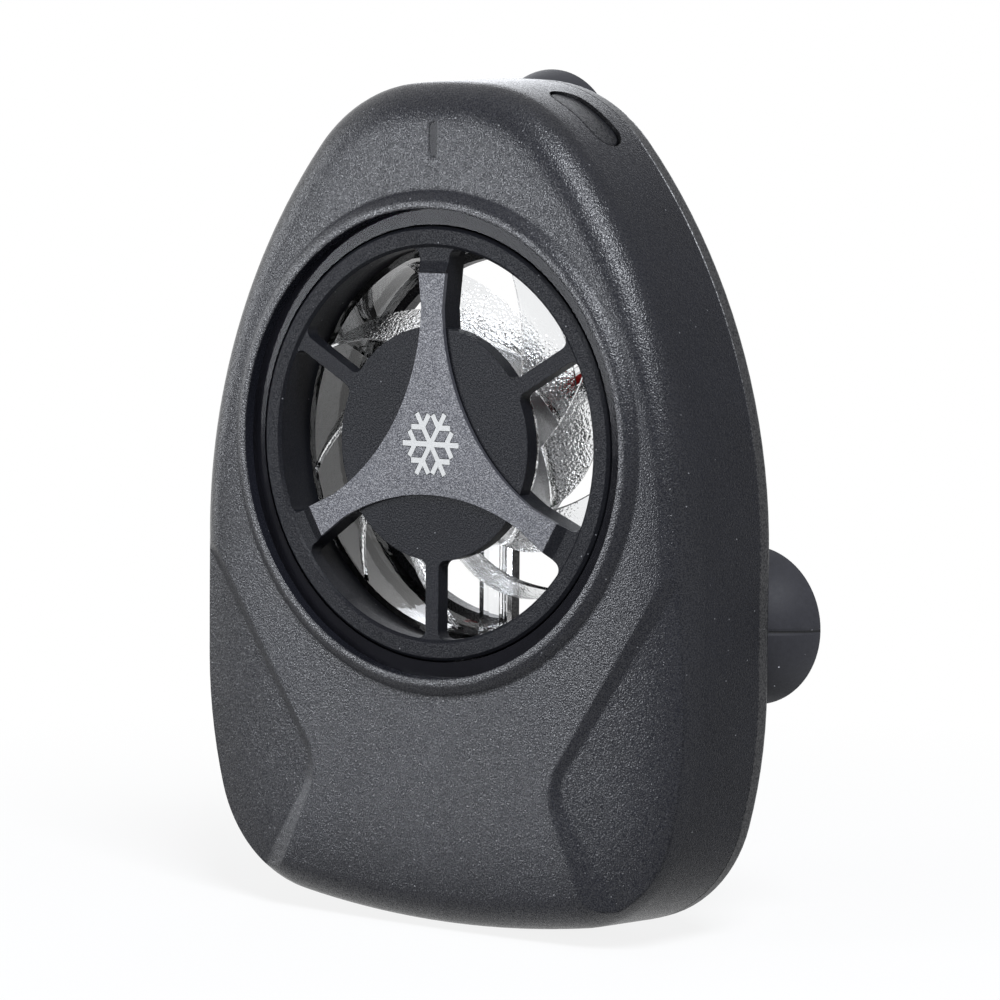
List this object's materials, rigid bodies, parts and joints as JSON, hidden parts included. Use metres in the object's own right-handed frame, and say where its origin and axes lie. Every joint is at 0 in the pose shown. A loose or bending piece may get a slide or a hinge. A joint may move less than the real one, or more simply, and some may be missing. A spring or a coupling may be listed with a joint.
{
  "type": "phone cooling fan",
  "caption": "Clip-free phone cooler: a see-through fan behind a starred guard in a rounded black case that grips the phone's back with suction cups.",
  "frame": {"origin": "on the fan axis, in the plane of the suction cups' lips, where the phone's back lies", "axes": "+Y to the phone, -Y out of the guard, +Z to the narrow end with the button and the indicator, +X to the button's side"},
  "size_m": [0.069, 0.0212, 0.0888],
  "materials": {
    "shell_charcoal": "fine spark-eroded grain",
    "cover_black": "satin",
    "guard_charcoal": "fine grain",
    "star_grey": "coarse sparkling grain",
    "badge_silver": "bright hot-stamped foil",
    "lens_smoked": "smoked, polished",
    "guide_white": "milky",
    "guide_clear": "clear",
    "clear_plastic": "clear, polished",
    "clear_rotor": "clear, frosted blades",
    "board_green": "solder mask",
    "board_black": "black solder mask",
    "led_white": "lamp package",
    "chip_black": "moulded",
    "screw_steel": "blackened",
    "bright_steel": "drawn",
    "core_steel": "laminated",
    "winding_copper": "enamelled",
    "bearing_bronze": "sintered",
    "battery_foil": "pouch foil",
    "pad_foam": "foam tape",
    "button_black": "fine grain",
    "cup_silicone": "matt silicone",
    "wire_red": "sleeve",
    "wire_black": "sleeve",
    "ribbon_amber": "film"
  },
  "bodies": {
    "housing": {"front_shell": "shell_charcoal", "front_grille": "guard_charcoal", "star_trim": "star_grey", "hub_badge": "badge_silver", "light_ring": "lens_smoked", "light_guide": "guide_clear", "leds": "led_white", "light_board": "board_black", "indicator_light_pipe": "guide_white", "indicator_led": "led_white", "fan_frame": "clear_plastic", "fan_screws": "screw_steel", "motor_board": "board_green", "motor_chip": "chip_black", "stator_core": "core_steel", "stator_coils": "winding_copper", "bearing_sleeve": "bearing_bronze", "button_switch": "chip_black", "button_board": "board_green", "battery_pad": "pad_foam", "battery_cell": "battery_foil", "main_board": "board_green", "board_chips": "chip_black", "board_screws": "screw_steel", "charge_socket": "bright_steel", "back_cover": "cover_black", "case_screws": "screw_steel", "suction_cup_top": "cup_silicone", "suction_cup_left": "cup_silicone", "suction_cup_right": "cup_silicone", "fan_wire_red": "wire_red", "fan_wire_black": "wire_black", "battery_wire_red": "wire_red", "battery_wire_black": "wire_black", "light_ribbon": "ribbon_amber"},
    "rotor": {"impeller": "clear_rotor", "rotor_yoke": "bright_steel", "rotor_magnet": "core_steel", "motor_shaft": "bright_steel", "shaft_clip": "bright_steel"},
    "button": {"power_button": "button_black", "switch_plunger": "button_black"}
  },
  "joints": [
    {"name": "impeller_spin", "type": "hinge", "parent": "housing", "child": "rotor", "pos_m": [0, -0.0115, 0], "axis": [0, -1, 0], "continuous": true},
    {"name": "button_press", "type": "slide", "parent": "housing", "child": "button", "axis": [-0.5878, 0, -0.809], "range_m": [0, 0.0003], "stiffness_N_per_m": 600, "springref_m": -0.001}
  ]
}
